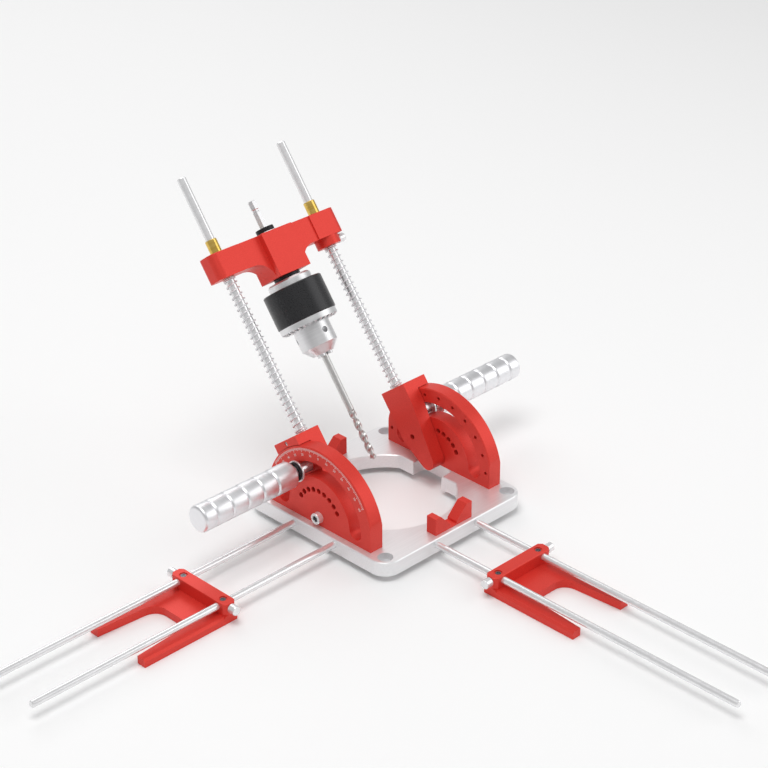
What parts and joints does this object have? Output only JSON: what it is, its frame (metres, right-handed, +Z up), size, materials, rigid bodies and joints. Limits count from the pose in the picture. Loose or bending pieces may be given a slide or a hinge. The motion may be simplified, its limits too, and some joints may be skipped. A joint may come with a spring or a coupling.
{
  "type": "drill guide",
  "caption": "Tilting drill guide with a sprung carriage and keyed chuck, red protractor side plates, clamp handles and rod-mounted edge fences.",
  "frame": {"origin": "centre of the base plate's underside", "axes": "+Z up, square to the plate; +X towards the right-hand handle; -Y towards the operator and the front fence"},
  "size_m": [0.578, 0.5797, 0.2694],
  "materials": {
    "red_anodised": "satin red anodised",
    "plain_aluminium": "fine brushed",
    "polished_handle": "turned and polished",
    "brass": "polished",
    "black_sleeve": "satin black",
    "black_oxide": "black oxide",
    "screw_steel": "zinc plated",
    "chromed_rod": "bright ground",
    "spring_wire": "bright wire",
    "bit_steel": "ground",
    "chuck_steel": "turned"
  },
  "bodies": {
    "root": {"base_plate": "plain_aluminium", "left_edge_rod_front": "chromed_rod", "left_edge_rod_rear": "chromed_rod", "front_edge_rod_left": "chromed_rod", "front_edge_rod_right": "chromed_rod", "edge_rod_grub_screws": "screw_steel", "protractor_screws": "screw_steel", "v_block_screws": "screw_steel", "front_v_block": "red_anodised", "rear_v_block": "red_anodised", "left_protractor": "red_anodised", "right_protractor": "red_anodised"},
    "tilt_frame": {"left_arm": "red_anodised", "right_arm": "red_anodised", "left_axle_pin": "chromed_rod", "right_axle_pin": "chromed_rod", "left_guide_rod": "chromed_rod", "right_guide_rod": "chromed_rod", "left_rod_grub_screw": "screw_steel", "right_rod_grub_screw": "screw_steel", "left_spring": "spring_wire", "right_spring": "spring_wire", "left_bright_washer": "chromed_rod", "right_bright_washer": "chromed_rod", "left_black_washer": "black_oxide", "right_black_washer": "black_oxide"},
    "carriage_body": {"carriage": "red_anodised", "left_bush": "brass", "right_bush": "brass", "lower_bearing": "chuck_steel", "upper_bearing": "chuck_steel"},
    "spindle_body": {"spindle": "chuck_steel", "top_washer": "chuck_steel", "top_collar": "black_oxide", "lower_flange": "black_oxide", "chuck_body": "chuck_steel", "drill_bit": "bit_steel"},
    "sleeve_body": {"chuck_sleeve": "black_sleeve", "chuck_ring_gear": "chuck_steel", "chuck_nut": "chuck_steel"},
    "jaw_1_body": {"chuck_jaw_1": "chuck_steel"},
    "jaw_2_body": {"chuck_jaw_2": "chuck_steel"},
    "jaw_3_body": {"chuck_jaw_3": "chuck_steel"},
    "left_handle_body": {"left_handle": "polished_handle", "left_clamp_stud": "chromed_rod"},
    "right_handle_body": {"right_handle": "polished_handle", "right_clamp_stud": "chromed_rod"},
    "depth_stop_body": {"depth_stop": "red_anodised"},
    "depth_stop_screw_body": {"depth_stop_screw": "chuck_steel"},
    "left_fence_body": {"left_fence": "red_anodised", "left_fence_bar_screws": "screw_steel"},
    "front_fence_body": {"front_fence": "red_anodised", "front_fence_bar_screws": "screw_steel"},
    "left_fence_screw_1_body": {"left_fence_screw_1": "chuck_steel"},
    "left_fence_screw_2_body": {"left_fence_screw_2": "chuck_steel"},
    "front_fence_screw_1_body": {"front_fence_screw_1": "chuck_steel"},
    "front_fence_screw_2_body": {"front_fence_screw_2": "chuck_steel"}
  },
  "joints": [
    {"name": "tilt", "type": "hinge", "parent": "root", "child": "tilt_frame", "pos_m": [0, 0, 0.0208], "axis": [1, 0, 0], "range_deg": [-22.5, 97.5]},
    {"name": "carriage_slide", "type": "slide", "parent": "tilt_frame", "child": "carriage_body", "axis": [0, 0.6088, 0.7934], "range_m": [-0.1, 0], "stiffness_N_per_m": 300, "springref_m": 0.045, "deforming": ["left_spring", "right_spring"]},
    {"name": "stop_slide", "type": "slide", "parent": "tilt_frame", "child": "depth_stop_body", "axis": [0, 0.6088, 0.7934], "range_m": [-0.1, 0]},
    {"name": "spindle_spin", "type": "hinge", "parent": "carriage_body", "child": "spindle_body", "pos_m": [0, 0.13088, 0.19137], "axis": [0, 0.6088, 0.7934], "continuous": true},
    {"name": "sleeve_turn", "type": "hinge", "parent": "spindle_body", "child": "sleeve_body", "pos_m": [0, 0.10349, 0.15567], "axis": [0, 0.6088, 0.7934], "range_deg": [0, 720]},
    {"name": "jaw_1_slide", "type": "slide", "parent": "spindle_body", "child": "jaw_1_body", "axis": [0, 0.7133, 0.7009], "range_m": [0, 0.004]},
    {"name": "jaw_2_slide", "type": "slide", "parent": "spindle_body", "child": "jaw_2_body", "axis": [-0.1205, 0.5476, 0.828], "range_m": [0, 0.004]},
    {"name": "jaw_3_slide", "type": "slide", "parent": "spindle_body", "child": "jaw_3_body", "axis": [0.1205, 0.5476, 0.828], "range_m": [0, 0.004]},
    {"name": "left_handle_turn", "type": "hinge", "parent": "tilt_frame", "child": "left_handle_body", "pos_m": [-0.13, 0.02581, 0.05444], "axis": [-1, 0, 0], "range_deg": [0, 360]},
    {"name": "right_handle_turn", "type": "hinge", "parent": "tilt_frame", "child": "right_handle_body", "pos_m": [0.13, 0.02581, 0.05444], "axis": [1, 0, 0], "range_deg": [0, 360]},
    {"name": "depth_stop_screw_turn", "type": "hinge", "parent": "depth_stop_body", "child": "depth_stop_screw_body", "pos_m": [0.07, 0.12638, 0.1855], "axis": [1, 0, 0], "range_deg": [0, 360]},
    {"name": "left_fence_slide", "type": "slide", "parent": "root", "child": "left_fence_body", "axis": [-1, 0, 0], "range_m": [-0.11, 0.18]},
    {"name": "front_fence_slide", "type": "slide", "parent": "root", "child": "front_fence_body", "axis": [0, -1, 0], "range_m": [-0.058, 0.23]},
    {"name": "left_fence_screw_1_turn", "type": "hinge", "parent": "left_fence_body", "child": "left_fence_screw_1_body", "pos_m": [-0.20465, 0.0334, 0.0076], "axis": [0, 1, 0], "range_deg": [0, 360]},
    {"name": "left_fence_screw_2_turn", "type": "hinge", "parent": "left_fence_body", "child": "left_fence_screw_2_body", "pos_m": [-0.20465, -0.0334, 0.0076], "axis": [0, -1, 0], "range_deg": [0, 360]},
    {"name": "front_fence_screw_1_turn", "type": "hinge", "parent": "front_fence_body", "child": "front_fence_screw_1_body", "pos_m": [-0.0334, -0.15195, 0.0076], "axis": [-1, 0, 0], "range_deg": [0, 360]},
    {"name": "front_fence_screw_2_turn", "type": "hinge", "parent": "front_fence_body", "child": "front_fence_screw_2_body", "pos_m": [0.0334, -0.15195, 0.0076], "axis": [1, 0, 0], "range_deg": [0, 360]}
  ],
  "couplings": [
    {"joint": "stop_slide", "follows": "carriage_slide", "ratio": 1},
    {"joint": "jaw_1_slide", "follows": "sleeve_turn", "m_per_rad": 0.000318},
    {"joint": "jaw_2_slide", "follows": "sleeve_turn", "m_per_rad": 0.000318},
    {"joint": "jaw_3_slide", "follows": "sleeve_turn", "m_per_rad": 0.000318}
  ]
}
